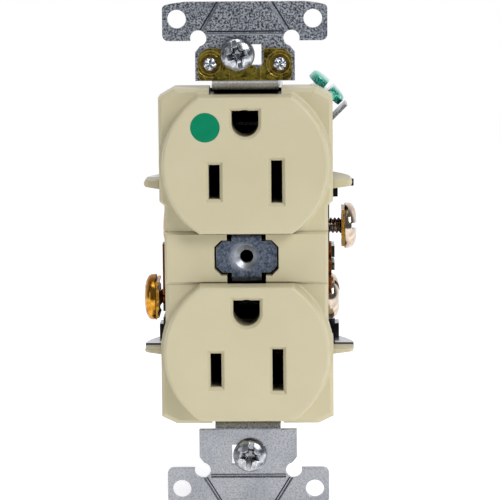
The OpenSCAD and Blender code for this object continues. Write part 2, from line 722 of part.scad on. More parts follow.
// The plate under a terminal screw's head, with a groove for each wire
module terminal_clamp(z, out) {
    translate([CLAMP_X + out, term_y, z]) difference() {
        box([0, -4.6, -3.8], [CLAMP_T, 4.6, 3.8]);
        rod_x(term_shank_r + FIT, -1, 2);
        for (s = [-1, 1]) rod_y(1, -6, 6, [-0.7, s * WIRE_Z]);
    }
}

// Children moved to the hot side, on the left
module hot_side() {
    mirror([1, 0, 0]) children();
}

// ---- Ground terminal ----

// Places children with Z along the ground screw and Z = 0 on the terminal's plate
module at_earth() {
    translate(EARTH_AT) rotate([0, EARTH_TURN, 0]) children();
}

// Riveted behind the strap, with an arm round the body to the sloping ground terminal.
// Part of the arm bends in and carries the screw, and the rest bends out as a guard for the wire.
module ground_bracket() {
    back = BACK_Y + strap_t + GAP;
    t = EARTH_PLATE;
    half = EARTH_HALF;
    arm_x = EARTH_ARM[0];
    guard = 4.9;
    color(ZINC) difference() {
        union() {
            at_earth() {
                box([-2.6, -half, -t], [3, half, 0]);
                box([guard, -half, -2.6], [guard + 0.6, half, 2.5]);
            }
            box([arm_x, EARTH_AT[1] - half, EARTH_ARM[1]], [arm_x + t, back + t, EARTH_ARM[2]]);
            box([BRACKET_RIVET_X - 6.6, back, 26], [arm_x + t, back + t, 30.2]);
        }
        at_earth() translate([0, 0, -t - 1]) cylinder(h = t + 2, r = term_shank_r + FIT);
        rod_y(RIVET_R + FIT, back - 1, back + t + 1, [0, CONTACT_Z[0]]);
        rod_y(RIVET_R + FIT, back - 1, back + t + 1, [BRACKET_RIVET_X, CONTACT_Z[0]]);
    }
}

module ground_clamp() {
    half = 3.8;
    color(ZINC) at_earth() difference() {
        box([-2.4, -half, GAP], [2.6, half, GAP + EARTH_CLAMP]);
        translate([0, 0, -1]) cylinder(h = 4, r = term_shank_r + FIT);
    }
}

// Slotted pan-head screw of the ground terminal
module ground_screw() {
    slot = [0.65, 1.8];
    long = 6.5;
    section = concat([[0, 0], [EARTH_HEAD, 0]], pan_edge(EARTH_HEAD, 1.2, EARTH_H));
    color(GREEN) at_earth() translate([0, 0, EARTH_BASE]) difference() {
        union() {
            translate([0, 0, -long]) cylinder(h = long + 0.1, r = term_shank_r);
            rotate_extrude() polygon(section);
        }
        box([-slot[0], -EARTH_HEAD - 1, EARTH_H - slot[1]],
            [slot[0], EARTH_HEAD + 1, EARTH_H + 1]);
    }
}

// ---- Mounting screws ----

// Washer behind the strap that hugs a mounting screw's neck and keeps the screw from falling out
module screw_retainer(x, z) {
    half = [2.45, 3.6];
    color(FIBRE) difference() {
        box([x - half[0], FIT, z - half[1]], [x + half[0], FIT + 0.8, z + half[1]]);
        rod_y(NECK_R + FIT, -1, 2, [x, z]);
    }
}

// Domed screw with its head's base at depth y and a thin neck under the head
module mounting_screw(x, y, z) {
    rim = 0.5;
    high = 2.1;
    section = concat([[0, y + mount_len], [mount_r - 0.6, y + mount_len],
                      [mount_r, y + mount_len - 0.9], [mount_r, NECK_END], [NECK_R, NECK_END],
                      [NECK_R, y], [mount_head_r, y], [mount_head_r, y - rim]],
                     [for (i = [1:6]) [mount_head_r * cos(i * 15),
                                       y - rim - (high - rim) * sin(i * 15)]]);
    color(NICKEL) translate([x, 0, z]) difference() {
        rotate([-90, 0, 0]) rotate_extrude() polygon(section);
        for (a = [0, 90]) rotate([0, a, 0])
            box([-2.1, y - high - 1, -0.45], [2.1, y - high + 1.4, 0.45]);
    }
}

front_cover();
back_body();
mounting_strap();
centre_bridge();
grade_dot();
grounding_clip();
clip_rivets();
hot_bus_bar();
neutral_bus_bar();
ground_contact(CONTACT_Z[0]);  // upper_ground_contact
ground_contact(CONTACT_Z[1]);  // lower_ground_contact
ground_rivets();
ground_bracket();
color(BRASS) hot_side() terminal_clamp(term_up, 0);  // hot_upper_clamp
color(BRASS) hot_side() terminal_screw(term_up, 0);  // hot_upper_screw
color(BRASS) hot_side() terminal_clamp(term_low, out_hot_low);  // hot_lower_clamp
color(BRASS) hot_side() terminal_screw(term_low, out_hot_low);  // hot_lower_screw
color(BRASS) terminal_clamp(term_up, out_neutral_up);  // neutral_upper_clamp
color(NICKEL) terminal_screw(term_up, out_neutral_up);  // neutral_upper_screw
color(BRASS) terminal_clamp(term_low, out_neutral_low);  // neutral_lower_clamp
color(NICKEL) terminal_screw(term_low, out_neutral_low);  // neutral_lower_screw
ground_clamp();
ground_screw();
screw_retainer(mount_up_x, mount_z);  // upper_screw_retainer
mounting_screw(mount_up_x, -strap_t - CLIP_T - GAP, mount_z);  // upper_mounting_screw
screw_retainer(mount_low_x, -mount_z);  // lower_screw_retainer
mounting_screw(mount_low_x, -strap_t - GAP, -mount_z);  // lower_mounting_screw
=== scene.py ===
"""Looks for the duplex wall outlet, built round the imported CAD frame.

Metres, Z up, the outlet's front towards -Y. Screws are remade with real threads and recesses and stand
for their CAD nodes; every other CAD node keeps its shape and gets its own procedural material.
"""
import json
import math

import bmesh
import bpy
from mathutils import Matrix, Vector


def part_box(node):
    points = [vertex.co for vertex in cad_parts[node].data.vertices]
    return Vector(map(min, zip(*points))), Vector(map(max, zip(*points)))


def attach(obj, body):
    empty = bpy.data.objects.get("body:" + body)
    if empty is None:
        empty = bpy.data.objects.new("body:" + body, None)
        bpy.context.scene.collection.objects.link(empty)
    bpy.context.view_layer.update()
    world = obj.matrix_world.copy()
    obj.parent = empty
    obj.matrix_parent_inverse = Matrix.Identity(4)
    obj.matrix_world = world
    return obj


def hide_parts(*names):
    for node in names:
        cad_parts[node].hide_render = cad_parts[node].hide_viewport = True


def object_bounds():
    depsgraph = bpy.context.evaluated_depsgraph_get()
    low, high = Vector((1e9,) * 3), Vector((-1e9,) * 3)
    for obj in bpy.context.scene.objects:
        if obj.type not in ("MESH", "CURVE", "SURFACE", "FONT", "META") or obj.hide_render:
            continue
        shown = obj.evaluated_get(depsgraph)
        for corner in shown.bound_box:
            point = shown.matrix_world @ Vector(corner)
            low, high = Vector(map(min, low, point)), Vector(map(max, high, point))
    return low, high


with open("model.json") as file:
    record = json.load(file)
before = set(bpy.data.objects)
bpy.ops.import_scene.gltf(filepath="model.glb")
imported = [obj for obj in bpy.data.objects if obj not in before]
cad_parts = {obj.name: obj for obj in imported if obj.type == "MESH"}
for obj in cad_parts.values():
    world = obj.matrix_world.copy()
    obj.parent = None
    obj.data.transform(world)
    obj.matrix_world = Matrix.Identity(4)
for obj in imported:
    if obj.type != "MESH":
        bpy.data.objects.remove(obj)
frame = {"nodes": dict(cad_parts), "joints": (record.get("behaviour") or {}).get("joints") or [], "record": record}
cad_box = [list(corner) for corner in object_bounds()]

MM = 0.001
SCENE = bpy.context.scene
PITCH = 0.79375 * MM          # 32 threads to the inch
BEVEL_RAYS = 6                # rays behind each rounded edge and each dark corner
BEND_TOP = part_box("grounding_clip")[0].z / MM    # mm; where the upper end plate turns into its bend
HALO_ASIDE = 0.7               # mm from the faceplate hole to the middle of the painted highlight on its left

# all screws; a slot is its width and depth, and a cross is its reach, width and depth
LAP = 0.3 * MM                # how far a rod runs into its head
PROUD = 0.1 * MM              # how far a cutter stands out of the head
THREAD_POINTS = 36            # points round a thread
THREAD_RINGS = 10             # rings of points in one pitch

# terminal and ground screws
SHANK_R = 1.7 * MM
THREAD_DEPTH = 0.42 * MM
HEAD_FULLNESS = 2.8           # squareness of a pan head's shoulders
TERMINAL_SHANK = 7.5 * MM
TERMINAL_RIM = 0.5 * MM
TERMINAL_SLOT = (1.15 * MM, 1.15 * MM)
TERMINAL_CROSS = (2.0 * MM, 1.1 * MM, 1.5 * MM)
EARTH_SEAT = 1.04 * MM        # the clamp and its gaps, under the ground screw's head
EARTH_SHANK = 6.5 * MM
EARTH_RADIUS = 4.35 * MM
EARTH_RIM = 1.2 * MM
EARTH_HEAD = 2.5 * MM
EARTH_SLOT = (1.3 * MM, 1.8 * MM)

# mounting screws
MOUNT_RISE = 2.1 * MM
MOUNT_RIM = 0.45 * MM
MOUNT_SLOT = (1.0 * MM, 0.85 * MM)
MOUNT_CROSS = (2.3 * MM, 1.3 * MM, 1.6 * MM)
MOUNT_SHANK_R = 1.75 * MM
MOUNT_THREAD = 0.4 * MM
MOUNT_NECK_R = 1.5 * MM
NECK_END = next(m["pos_m"][1] for m in frame["record"]["mounts"] if m["kind"] == "pin")


# ---------------------------------------------------------------- materials

class Surface:
    """A material under construction. Texture positions are in millimetres of the row's frame."""

    def __init__(self, name, roughness=0.5, metallic=0.0):
        self.material = bpy.data.materials.new(name)
        self.material.use_nodes = True
        self.tree = self.material.node_tree
        self.bsdf = self.tree.nodes["Principled BSDF"]
        self.set(Roughness=roughness, Metallic=metallic)
        place = self.node("ShaderNodeTexCoord").outputs["Object"]
        self.mm = self.node("ShaderNodeVectorMath", place, (1 / MM,) * 3, operation="MULTIPLY").outputs[0]
        self.normal = None

    def node(self, kind, *values, **settings):
        """A new node with its first inputs set, in order, from values or sockets."""
        made = self.tree.nodes.new(kind)
        for key, value in settings.items():
            setattr(made, key, value)
        for socket, value in zip(made.inputs, values):
            self.feed(socket, value)
        return made

    def feed(self, socket, value):
        if value is None:
            return
        if isinstance(value, bpy.types.NodeSocket):
            self.tree.links.new(value, socket)
        else:
            socket.default_value = value

    def set(self, **values):
        """Sets inputs of the main shader; an underscore in a name stands for a space."""
        for key, value in values.items():
            self.feed(self.bsdf.inputs[key.replace("_", " ")], value)

    def noise(self, size, detail=2.0, rough=0.5, stretch=(1, 1, 1), twist=0.0):
        """Smooth noise, 0 to 1, with features of about this size in millimetres."""
        place = self.node("ShaderNodeVectorMath", self.mm, stretch, operation="MULTIPLY").outputs[0]
        made = self.node("ShaderNodeTexNoise")
        self.feed(made.inputs["Vector"], place)
        self.feed(made.inputs["Scale"], 1 / size)
        self.feed(made.inputs["Detail"], detail)
        self.feed(made.inputs["Roughness"], rough)
        self.feed(made.inputs["Distortion"], twist)
        return made.outputs["Fac"]

    def ramp(self, fac, low, high, out_low=0.0, out_high=1.0):
        """Maps fac from low..high to out_low..out_high, held at the ends."""
        made = self.node("ShaderNodeMapRange", fac, low, high, out_low, out_high)
        return made.outputs[0]

    def mix(self, fac, a, b):
        """Mixes two colours."""
        made = self.tree.nodes.new("ShaderNodeMix")
        made.data_type = "RGBA"
        self.feed(made.inputs[0], fac)
        self.feed(made.inputs[6], rgba(a))
        self.feed(made.inputs[7], rgba(b))
        return made.outputs[2]

    def maths(self, kind, *values):
        return self.node("ShaderNodeMath", *values, operation=kind).outputs[0]

    def facing(self, letter):
        """One component of the true surface normal, -1 to 1."""
        true = self.node("ShaderNodeNewGeometry").outputs["True Normal"]
        return self.node("ShaderNodeSeparateXYZ", true).outputs[letter]

    def axis(self, letter):
        """One coordinate, in millimetres."""
        return self.node("ShaderNodeSeparateXYZ", self.mm).outputs[letter]

    def distance(self, across, up):
        """Distance from the line where both of these offsets are 0."""
        squares = self.maths("ADD", self.maths("MULTIPLY", across, across), self.maths("MULTIPLY", up, up))
        return self.maths("SQRT", squares)

    def soft_edges(self, radius):
        """Rounds edges in the shading, by radius in millimetres."""
        made = self.node("ShaderNodeBevel", radius * MM, samples=BEVEL_RAYS)
        self.normal = made.outputs[0]

    def edge_mask(self, radius):
        """1 on edges within radius millimetres, 0 on flats."""
        rounded = self.node("ShaderNodeBevel", radius * MM, samples=BEVEL_RAYS).outputs[0]
        true = self.node("ShaderNodeNewGeometry").outputs["Normal"]
        dot = self.node("ShaderNodeVectorMath", rounded, true, operation="DOT_PRODUCT").outputs["Value"]
        return self.ramp(dot, 0.99, 0.85)

    def corners(self, distance):
        """0 deep in corners and crevices, 1 in the open."""
        made = self.node("ShaderNodeAmbientOcclusion", samples=BEVEL_RAYS)
        self.feed(made.inputs["Distance"], distance * MM)
        return made.outputs["AO"]

    def bump(self, height, depth):
        """Adds relief of this depth in millimetres."""
        made = self.node("ShaderNodeBump")
        self.feed(made.inputs["Strength"], 1.0)
        self.feed(made.inputs["Distance"], depth * MM)
        self.feed(made.inputs["Height"], height)
        self.feed(made.inputs["Normal"], self.normal)
        self.normal = made.outputs[0]
        self.set(Normal=self.normal)


def rgba(colour):
    if isinstance(colour, (tuple, list)) and len(colour) == 3:
        return (*colour, 1.0)
    return colour


def srgb(red, green, blue):
    """Linear colour from an everyday 0..255 colour."""
    def line(value):
        value /= 255
        return value / 12.92 if value <= 0.04045 else ((value + 0.055) / 1.055) ** 2.4
    return tuple(line(value) for value in (red, green, blue))


def ivory_nylon():
    s = Surface("ivory_nylon", roughness=0.42)
    s.soft_edges(0.16)
    cloud = s.noise(14, 3)
    fine = s.noise(0.16, 3, 0.6)
    base = s.mix(s.ramp(cloud, 0.3, 0.7), srgb(196, 187, 154), srgb(202, 193, 161))
    # painted shade: darker colour in creases and where parts meet
    crease_shade = s.ramp(s.corners(1.0), 0.2, 0.75)
    base = s.mix(crease_shade, srgb(172, 160, 124), base)
    # painted shade: near black deep inside the slots and cavities
    base = s.mix(s.ramp(s.corners(7), 0.24, 0.38), srgb(8, 7, 5), base)
    # painted highlight: lighter colour along the edges
    base = s.mix(s.maths("MULTIPLY", s.edge_mask(0.25), 0.35), base, srgb(222, 214, 186))
    s.set(Base_Color=base, Specular_IOR_Level=0.42)
    s.set(Roughness=s.ramp(s.noise(2.5, 4), 0.25, 0.75, 0.36, 0.5))
    s.bump(s.noise(0.7, 2), 0.012)
    s.bump(fine, 0.006)
    return s.material


def black_nylon():
    s = Surface("black_nylon", roughness=0.18)
    s.soft_edges(0.06)
    dust = s.ramp(s.noise(0.25, 3, 0.7), 0.62, 0.8)
    base = s.mix(s.maths("MULTIPLY", dust, 0.25), srgb(14, 14, 16), srgb(70, 70, 72))
    open_air = s.ramp(s.corners(8), 0.4, 0.6)
    shine = s.maths("MULTIPLY", s.ramp(s.facing("Z"), 0.2, 0.8, 0.12, 1.0), open_air)
    s.set(Base_Color=base, Specular_IOR_Level=s.maths("MULTIPLY", open_air, 0.5))
    s.set(Coat_Weight=shine, Coat_Roughness=0.05, Coat_IOR=2.0)
    s.set(Roughness=s.ramp(s.noise(3, 4), 0.3, 0.7, 0.12, 0.3))
    s.bump(s.noise(1.8, 2), 0.02)
    s.bump(s.noise(0.18, 2), 0.004)
    return s.material


def zinc_steel():
    """Zinc plate: a coarse dark speckle on the upper end plate, a smooth pale grey elsewhere.

    The walls of the break-off grooves, which are the only tilted faces of the end plates, get painted shade
    where they face down and a painted highlight where they face up.
    """
    s = Surface("zinc_steel", roughness=0.45, metallic=0.85)
    s.soft_edges(0.12)
    speck = s.noise(0.42, 3, 0.7)
    grain = s.noise(0.12, 2, 0.6)
    rough = s.mix(s.ramp(speck, 0.43, 0.58), srgb(66, 70, 80), srgb(190, 194, 200))
    smooth = s.mix(s.ramp(speck, 0.3, 0.7), srgb(138, 141, 147), srgb(186, 187, 191))
    upper = s.ramp(s.axis("Z"), BEND_TOP - 0.3, BEND_TOP + 0.1)
    base = s.mix(upper, smooth, rough)
    # painted highlight: a bright band across the bend of the upper end plate
    in_bend = s.maths("COMPARE", s.axis("Z"), BEND_TOP - 1.2, 1.1)
    base = s.mix(in_bend, base, srgb(212, 214, 220))
    base = s.mix(s.ramp(s.noise(7, 3), 0.45, 0.75, 0, 0.35), base, srgb(112, 118, 132))
    beyond_bend = s.maths("GREATER_THAN", s.maths("ABSOLUTE", s.axis("Z")), BEND_TOP + 2)
    # painted shade on groove walls that face down, painted highlight on those that face up
    tilted = s.maths("COMPARE", s.maths("ABSOLUTE", s.facing("Y")), 0.7, 0.22)
    groove = s.maths("MULTIPLY", tilted, beyond_bend)
    painted_lit = s.ramp(s.facing("Z"), -0.1, 0.35)
    base = s.mix(groove, base, s.mix(painted_lit, srgb(30, 40, 58), srgb(186, 190, 198)))
    # painted highlight: lighter colour along the edges
    base = s.mix(s.maths("MULTIPLY", s.edge_mask(0.14), 0.6), base, srgb(218, 218, 222))
    s.set(Base_Color=base)
    spread = s.maths("ADD", s.ramp(speck, 0.3, 0.7, 0.22, 0.36), s.maths("MULTIPLY", upper, 0.16))
    s.set(Roughness=spread)
    s.bump(speck, 0.025)
    s.bump(grain, 0.006)
    return s.material


def dark_zinc():
    """The bridge plate: blue-grey zinc with a fine dark mottle and a painted highlight round the screw hole."""
    s = Surface("dark_zinc", roughness=0.4, metallic=0.9)
    s.soft_edges(0.12)
    mottle = s.noise(0.5, 4, 0.7, twist=0.6)
    base = s.mix(s.ramp(mottle, 0.38, 0.62), srgb(58, 70, 90), srgb(124, 132, 146))
    halo_distance = s.distance(s.maths("ADD", s.axis("X"), HALO_ASIDE), s.axis("Z"))
    # painted highlight: a pale patch round the screw hole, a little to its left
    base = s.mix(s.ramp(halo_distance, 3.3, 1.7, 0, 0.6), base, srgb(212, 216, 224))
    # painted highlight: lighter colour along the edges
    base = s.mix(s.maths("MULTIPLY", s.edge_mask(0.2), 0.7), base, srgb(206, 208, 212))
    s.set(Base_Color=base, Roughness=s.ramp(mottle, 0.3, 0.7, 0.26, 0.5))
    s.bump(mottle, 0.02)
    return s.material


def plated(name, dark, light, edge, patina_and_shade, roughness=(0.1, 0.26), mottle=1.2, patch=3.0, shade_reach=1.6):
    """A bright plated or rolled metal with soft tarnish, dark patina patches, edges lightened partly as wear and
    partly as painted highlight, and painted shade in recesses.

    The last argument is the distance in millimetres within which facing walls paint shade on it; the fifth colour
    serves both this painted shade and the patina patches.
    """
    s = Surface(name, metallic=1.0)
    s.soft_edges(0.1)
    tarnish = s.noise(mottle, 4, 0.6, twist=0.4)
    base = s.mix(s.ramp(tarnish, 0.35, 0.7), dark, light)
    base = s.mix(s.ramp(s.noise(patch, 2), 0.5, 0.66, 0, 0.75), base, patina_and_shade)
    # edges lightened, partly as wear and partly as painted highlight
    base = s.mix(s.maths("MULTIPLY", s.edge_mask(0.18), 0.7), base, edge)
    # painted shade: the dark colour in recesses and between facing walls
    base = s.mix(s.ramp(s.corners(shade_reach), 0.35, 0.8), patina_and_shade, base)
    s.set(Base_Color=base)
    s.set(Roughness=s.ramp(tarnish, 0.3, 0.75, roughness[1], roughness[0]))
    s.bump(s.noise(0.12, 2), 0.006)
    s.bump(s.noise(0.6, 3), 0.014)
    return s.material


def from_clip_rivet(s):
    """How far a point lies to the outer side of the nearer clip rivet's centre, and above it."""
    low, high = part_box("clip_rivets")
    radius = (high.z - low.z) / 2 / MM
    across = s.maths("SUBTRACT", s.maths("ABSOLUTE", s.axis("X")), high.x / MM - radius)
    return across, s.maths("SUBTRACT", s.axis("Z"), high.z / MM - radius)


def rivet_steel():
    """Star-crimped rivet heads: bumped petals round each rivet's centre, with painted highlight on the petals,
    painted shade in the creases and random painted glints.
    """
    s = Surface("rivet_steel", roughness=0.22, metallic=1.0)
    across, up = from_clip_rivet(s)
    angle = s.maths("ARCTAN2", up, across)
    warp = s.maths("MULTIPLY", s.noise(0.7, 3), 3.0)
    star = s.maths("COSINE", s.maths("ADD", s.maths("MULTIPLY", angle, 5.0), warp))
    # painted highlight on the petals, painted shade in the creases
    base = s.mix(s.ramp(star, -0.7, 0.2), srgb(84, 94, 114), srgb(206, 212, 222))
    # painted glints: random near-white specks
    base = s.mix(s.ramp(s.noise(0.3, 3), 0.5, 0.7, 0, 0.7), base, srgb(250, 250, 252))
    s.set(Base_Color=base)
    s.bump(star, 0.12)
    s.bump(s.noise(0.3, 2), 0.03)
    return s.material


def olive_brass():
    s = Surface("olive_brass", roughness=0.3, metallic=0.9)
    s.soft_edges(0.1)
    cloud = s.noise(1.1, 5, 0.7, twist=0.8)
    speck = s.noise(0.22, 2, 0.6)
    base = s.mix(s.ramp(cloud, 0.35, 0.66), srgb(54, 48, 14), srgb(172, 152, 60))
    base = s.mix(s.ramp(speck, 0.55, 0.75, 0, 0.6), base, srgb(44, 40, 18))
    # painted shade: a darker ring round each rivet, in place of the pressed dish the mesh lacks
    dish_shade = s.ramp(s.distance(*from_clip_rivet(s)), 2.4, 1.9, 0, 0.7)
    base = s.mix(dish_shade, base, srgb(104, 82, 30))
    # painted highlight: lighter golden colour along the edges
    base = s.mix(s.maths("MULTIPLY", s.edge_mask(0.16), 0.75), base, srgb(220, 188, 98))
    s.set(Base_Color=base, Roughness=s.ramp(cloud, 0.3, 0.7, 0.22, 0.42))
    s.bump(speck, 0.01)
    return s.material


def green_lacquer():
    s = Surface("green_lacquer", roughness=0.2, metallic=0.55)
    s.soft_edges(0.14)
    cloud = s.noise(0.8, 4, 0.6)
    base = s.mix(s.ramp(cloud, 0.35, 0.6), srgb(0, 104, 98), srgb(0, 182, 148))
    # painted highlights: random pale mint specks
    base = s.mix(s.ramp(s.noise(0.45, 3), 0.56, 0.66, 0, 0.8), base, srgb(186, 228, 214))
    # painted highlight: paler colour on faces that look up
    base = s.mix(s.ramp(s.facing("Z"), 0.5, 0.8, 0, 0.75), base, srgb(150, 214, 194))
    # painted highlight: lighter colour along the edges
    base = s.mix(s.maths("MULTIPLY", s.edge_mask(0.24), 0.7), base, srgb(196, 230, 218))
    # painted shade: dark teal in the slot and other recesses
    base = s.mix(s.ramp(s.corners(1.6), 0.35, 0.75), srgb(0, 62, 70), base)
    s.set(Base_Color=base, Coat_Weight=0.8, Coat_Roughness=0.08)
    s.bump(s.noise(0.5, 3), 0.03)
    return s.material


def green_print():
    s = Surface("green_print", roughness=0.4)
    cloud = s.noise(3, 3)
    base = s.mix(s.ramp(cloud, 0.3, 0.7), srgb(0, 122, 84), srgb(0, 130, 92))
    s.set(Base_Color=base, Specular_IOR_Level=0.15)
    s.set(Roughness=s.ramp(cloud, 0.3, 0.7, 0.36, 0.46))
    s.bump(s.noise(0.3, 2), 0.004)
    return s.material


def fibre_board():
    s = Surface("fibre_board", roughness=0.8)
    strands = s.noise(0.35, 4, 0.7, stretch=(1, 1, 0.2))
    base = s.mix(s.ramp(strands, 0.3, 0.7), srgb(96, 66, 44), srgb(150, 112, 78))
    s.set(Base_Color=base, Specular_IOR_Level=0.2)
    s.bump(strands, 0.03)
    return s.material


IVORY = ivory_nylon()
BLACK = black_nylon()
ZINC = zinc_steel()
BRIDGE = dark_zinc()
BRASS = plated("bright_brass", srgb(176, 112, 26), srgb(236, 182, 70), srgb(255, 226, 140),
               srgb(110, 62, 18))
PLATE_BRASS = plated("stamped_brass", srgb(150, 98, 30), srgb(228, 176, 78), srgb(250, 214, 130),
                     srgb(66, 44, 18), (0.2, 0.4), 0.4, 0.9)
# these two: near-black painted shade that reaches far into the slots
CONTACT = plated("contact_brass", srgb(92, 66, 26), srgb(140, 104, 48), srgb(176, 140, 76),
                 srgb(4, 3, 2), (0.3, 0.5), shade_reach=12)
COPPERY = plated("bus_copper", srgb(110, 54, 24), srgb(196, 112, 54), srgb(236, 160, 92),
                 srgb(6, 4, 3), (0.2, 0.4), 0.5, 1.2, 6)
NICKEL = plated("warm_nickel", srgb(180, 154, 130), srgb(236, 224, 208), srgb(252, 250, 246),
                srgb(48, 38, 30), (0.08, 0.18), 3.0, 7.0)
# dark blue painted shade in the mounting screws' recesses
STEEL = plated("screw_steel", srgb(160, 164, 170), srgb(232, 234, 238), srgb(250, 250, 252),
               srgb(8, 13, 30), (0.16, 0.32), 0.9, 2.0, 2.6)
RIVET = rivet_steel()
OLIVE = olive_brass()
LACQUER = green_lacquer()
PRINT = green_print()
FIBRE = fibre_board()

LOOKS = {
    "front_cover": IVORY, "back_body": BLACK, "mounting_strap": ZINC, "ground_bracket": ZINC,
    "ground_clamp": ZINC, "centre_bridge": BRIDGE, "grade_dot": PRINT, "grounding_clip": OLIVE,
    "clip_rivets": RIVET, "hot_bus_bar": COPPERY, "neutral_bus_bar": COPPERY,
    "upper_ground_contact": CONTACT, "lower_ground_contact": CONTACT, "ground_rivets": BRASS,
    "hot_upper_clamp": PLATE_BRASS, "hot_lower_clamp": PLATE_BRASS, "neutral_upper_clamp": PLATE_BRASS,
    "neutral_lower_clamp": PLATE_BRASS, "hot_upper_screw": BRASS, "hot_lower_screw": BRASS,
    "neutral_upper_screw": NICKEL, "neutral_lower_screw": NICKEL, "ground_screw": LACQUER,
    "upper_screw_retainer": FIBRE, "lower_screw_retainer": FIBRE,
    "upper_mounting_screw": STEEL, "lower_mounting_screw": STEEL,
}


def paint(obj, material):
    obj.data.materials.clear()
    obj.data.materials.append(material)


for name, material in LOOKS.items():
    paint(frame["nodes"][name], material)


# ---------------------------------------------------------------- mesh helpers

def ring_mesh(name, rings):
    """A closed skin through rings of points; a ring of one point closes an end."""
    mesh = bpy.data.meshes.new(name)
    bm = bmesh.new()
    made = [[bm.verts.new(point) for point in ring] for ring in rings]
    for a, b in zip(made, made[1:]):
        count = max(len(a), len(b))
        for i in range(count):
            j = (i + 1) % count
            if len(a) == 1:
                bm.faces.new((a[0], b[i], b[j]))
            elif len(b) == 1:
                bm.faces.new((a[j], a[i], b[0]))
            else:
                bm.faces.new((a[j], a[i], b[i], b[j]))
    bmesh.ops.recalc_face_normals(bm, faces=bm.faces)
    bm.to_mesh(mesh)
    bm.free()
    obj = bpy.data.objects.new(name, mesh)
    SCENE.collection.objects.link(obj)
    return obj


def circle(radius, height, count):
    angles = [math.tau * i / count for i in range(count)]
    return [Vector((radius * math.cos(a), radius * math.sin(a), height)) for a in angles]


def lathe(name, section, count):
    """A solid turned about Z from a section of (radius, height) points that starts and ends on the axis."""
    rings = [[Vector((0, 0, h))] if r < 1e-9 else circle(r, h, count) for r, h in section]
    return ring_mesh(name, rings)


def prism(name, low, high, low_z, high_z):
    """A tapered bar: half sizes (x, y) at its lower and upper ends."""
    def corners(half, z):
        return [Vector((sx * half[0], sy * half[1], z)) for sx, sy in ((-1, -1), (1, -1), (1, 1), (-1, 1))]
    rings = [[Vector((0, 0, low_z))], corners(low, low_z), corners(high, high_z), [Vector((0, 0, high_z))]]
    return ring_mesh(name, rings)


def settle(obj):
    """Applies an object's modifiers."""
    bpy.context.view_layer.update()
    graph = bpy.context.evaluated_depsgraph_get()
    mesh = bpy.data.meshes.new_from_object(obj.evaluated_get(graph))
    obj.modifiers.clear()
    obj.data = mesh


def cut_out(obj, other):
    """Cuts other out of obj and removes other."""
    modifier = obj.modifiers.new("cut", "BOOLEAN")
    modifier.operation = "DIFFERENCE"
    modifier.solver = "EXACT"
    modifier.object = other
    settle(obj)
    bpy.data.objects.remove(other)


def soften(obj, width, angle=35, segments=2):
    """Rounds the sharp edges and shades the rest smooth."""
    modifier = obj.modifiers.new("soften", "BEVEL")
    modifier.width = width
    modifier.segments = segments
    modifier.limit_method = "ANGLE"
    modifier.angle_limit = math.radians(angle)
    settle(obj)
    smooth(obj)


def smooth(obj, angle=40):
    """Shades smooth, but keeps edges sharper than this many degrees."""
    obj.data.shade_smooth()
    obj.data.set_sharp_from_angle(angle=math.radians(angle))


def merge(name, objects):
    """Joins separate closed shells into one piece."""
    bm = bmesh.new()
    for obj in objects:
        obj.data.transform(obj.matrix_world)
        bm.from_mesh(obj.data)
        bpy.data.objects.remove(obj)
    mesh = bpy.data.meshes.new(name)
    bm.to_mesh(mesh)
    bm.free()
    joined = bpy.data.objects.new(name, mesh)
    SCENE.collection.objects.link(joined)
    return joined


# ---------------------------------------------------------------- screws

def thread(name, radius, depth, low, high):
    """A rod with a right-hand V thread between two heights; it fades out at its lower tip."""
    rise = PITCH / THREAD_RINGS
    rings = [[Vector((0, 0, low))]]
    rows = int((high - low) / rise)
    for row in range(rows + 1):
        z = low + row * rise
        fade = min(1.0, 0.35 + (z - low) / (1.2 * PITCH) * 0.65)
        ring = []
        for i in range(THREAD_POINTS):
            turn = i / THREAD_POINTS
            phase = (z / PITCH - turn) % 1.0
            ridge = 1 - abs(2 * phase - 1)
            ridge = min(1.0, max(0.0, ridge * 1.3 - 0.15))    # flat crests and roots
            r = radius * (0.86 + 0.14 * fade) - depth * (1 - ridge)
            ring.append(Vector((r * math.cos(turn * math.tau), r * math.sin(turn * math.tau), z)))
        rings.append(ring)
    rings.append([Vector((0, 0, low + rows * rise))])
    rod = ring_mesh(name, rings)
    smooth(rod, 50)
    return rod


def dome(radius, rim, height, fullness=2.0):
    """Head section: flat base, straight rim, domed top. More fullness makes squarer shoulders."""
    power = 2 / fullness
    steps = 10
    chamfer = 0.12 * MM
    arc = [(radius * math.cos(a) ** power, rim + (height - rim) * math.sin(a) ** power)
           for a in (math.radians(90 * i / steps) for i in range(1, steps))]
    return [(0, 0), (radius - chamfer, 0), (radius, chamfer), (radius, rim), *arc, (0, height)]


def cross_recess(head, height, reach, wide, deep, spin):
    """Cuts a cross recess: two blades that taper inwards, and a pointed centre."""
    for turn in (0, 90):
        blade = prism("blade", (reach * 0.42, wide * 0.3), (reach * 1.08, wide * 0.56),
                      height - deep, height + PROUD)
        blade.matrix_world = Matrix.Rotation(math.radians(spin + turn), 4, "Z")
        cut_out(head, blade)
    cone = lathe("cone", [(0, height - deep - 0.35 * MM), (reach * 0.3, height - deep + 0.1 * MM),
                          (reach * 0.62, height + PROUD), (0, height + PROUD)], 24)
    cut_out(head, cone)


def slot_cut(head, radius, height, wide, deep, spin):
    """Cuts a straight slot across the head, along its X when spin is 0."""
    bar = prism("bar", (radius * 1.2, wide / 2 * 0.9), (radius * 1.2, wide / 2 * 1.1),
                height - deep, height + 2 * PROUD)
    bar.matrix_world = Matrix.Rotation(math.radians(spin), 4, "Z")
    cut_out(head, bar)


def place_along(obj, base, axis):
    """Stands obj on base with its +Z along axis and its +X as near upright as it can be."""
    z = axis.normalized()
    upright = Vector((0, 0, 1))
    x = (upright - upright.dot(z) * z).normalized()
    y = z.cross(x)
    obj.matrix_world = Matrix.Translation(base) @ Matrix((x, y, z)).transposed().to_4x4()


